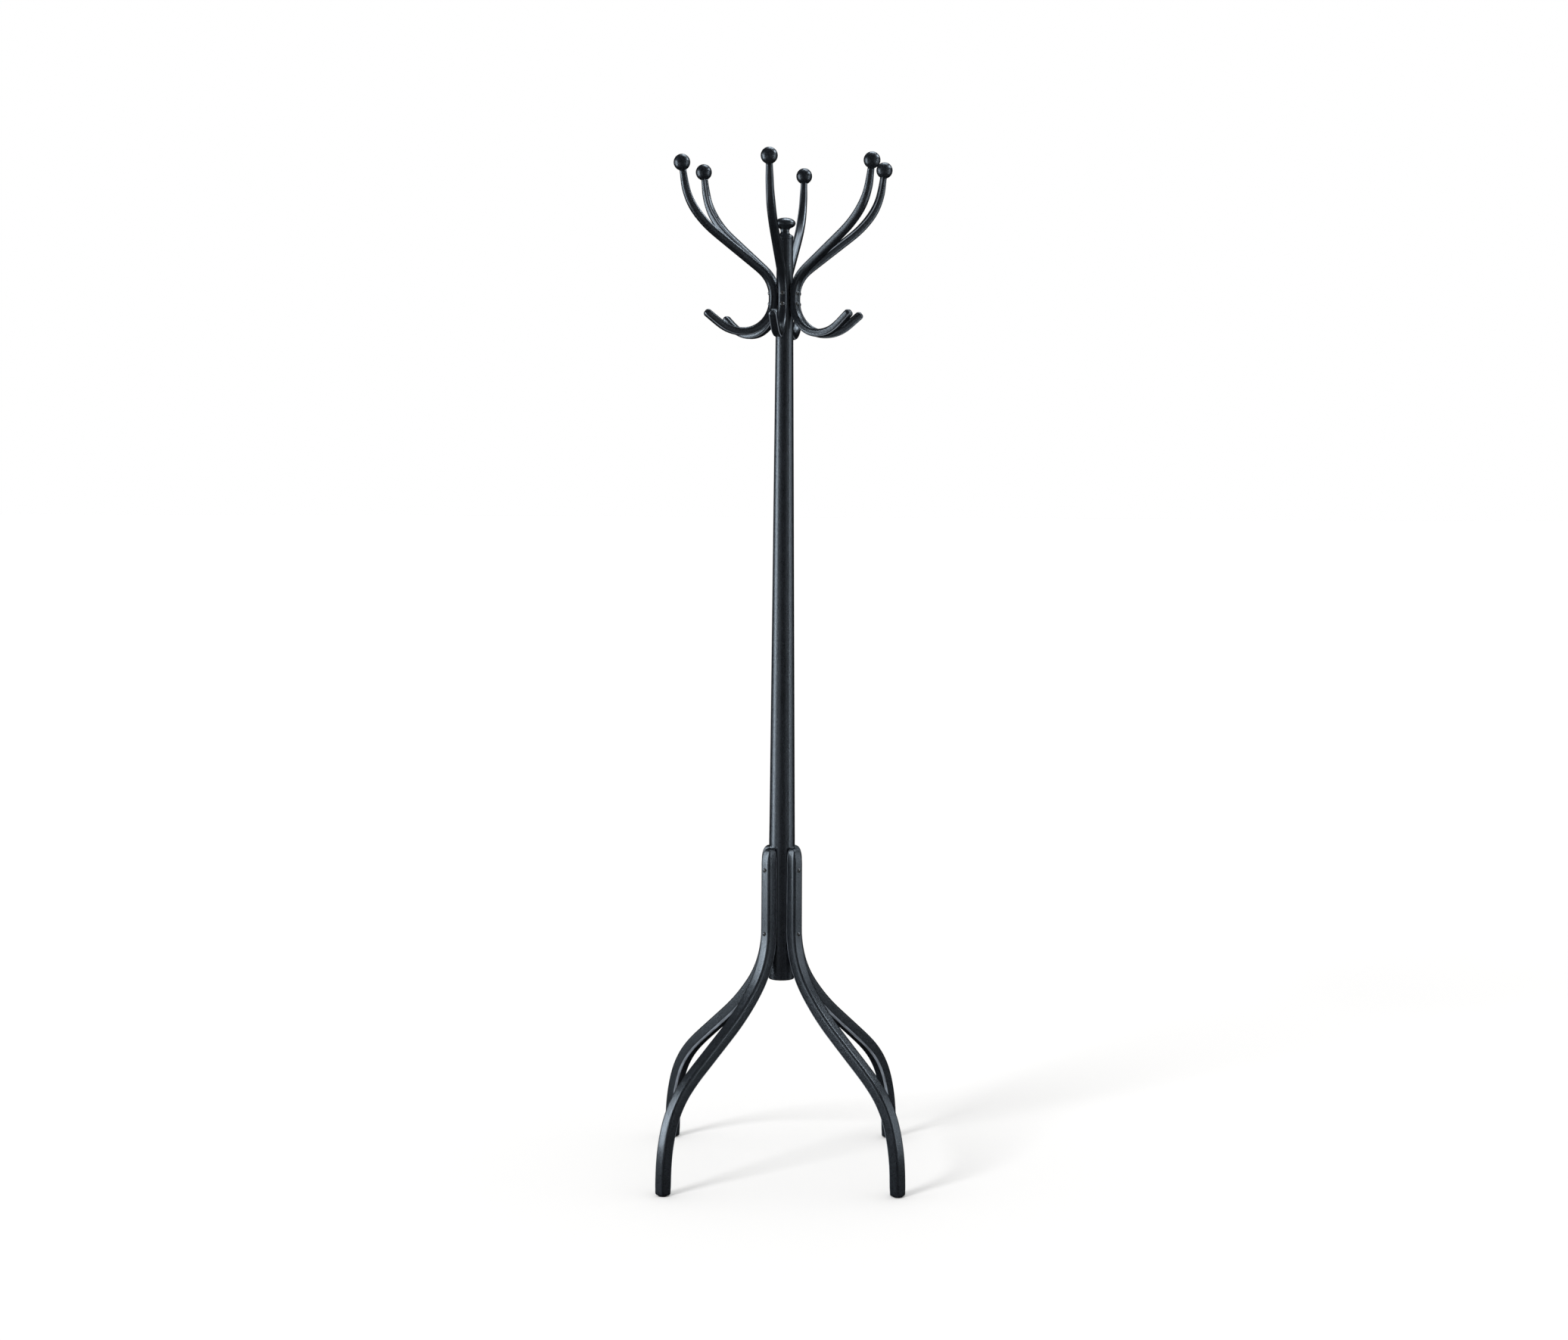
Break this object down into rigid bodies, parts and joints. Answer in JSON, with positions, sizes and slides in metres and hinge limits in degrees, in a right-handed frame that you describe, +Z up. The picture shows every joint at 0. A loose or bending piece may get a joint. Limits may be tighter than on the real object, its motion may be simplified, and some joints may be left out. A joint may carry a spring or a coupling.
{
  "type": "coat stand",
  "caption": "Free-standing bentwood coat and hat stand: a tapered round post on splayed S-curved legs, with double coat and hat hooks around the top and a turned knob.",
  "frame": {"origin": "on the floor, at the foot of the post's axis, which is the centre of the four feet", "axes": "+Z up along the post; -Y is the front; the feet stand at 45 degrees to X and Y; the hooks are turned about 8 degrees from the legs"},
  "size_m": [0.4506, 0.4506, 1.865],
  "materials": {
    "post_wood": "black-stained beech under satin lacquer, grain upright",
    "bent_wood": "black-stained steam-bent beech under satin lacquer, grain along the rod",
    "turned_wood": "black-stained turned beech under satin lacquer",
    "black_screws": "blackened round-head steel screws, glossy",
    "glide_plastic": "matt black plastic"
  },
  "bodies": {
    "root": {"post": "post_wood", "finial": "turned_wood", "hook_1": "bent_wood", "hook_2": "bent_wood", "hook_3": "bent_wood", "hook_4": "bent_wood", "hook_5": "bent_wood", "hook_6": "bent_wood", "ball_1": "turned_wood", "ball_2": "turned_wood", "ball_3": "turned_wood", "ball_4": "turned_wood", "ball_5": "turned_wood", "ball_6": "turned_wood", "hook_screws": "black_screws", "leg_1": "bent_wood", "leg_2": "bent_wood", "leg_3": "bent_wood", "leg_4": "bent_wood", "leg_screws": "black_screws", "glide_1": "glide_plastic", "glide_2": "glide_plastic", "glide_3": "glide_plastic", "glide_4": "glide_plastic"}
  },
  "joints": []
}
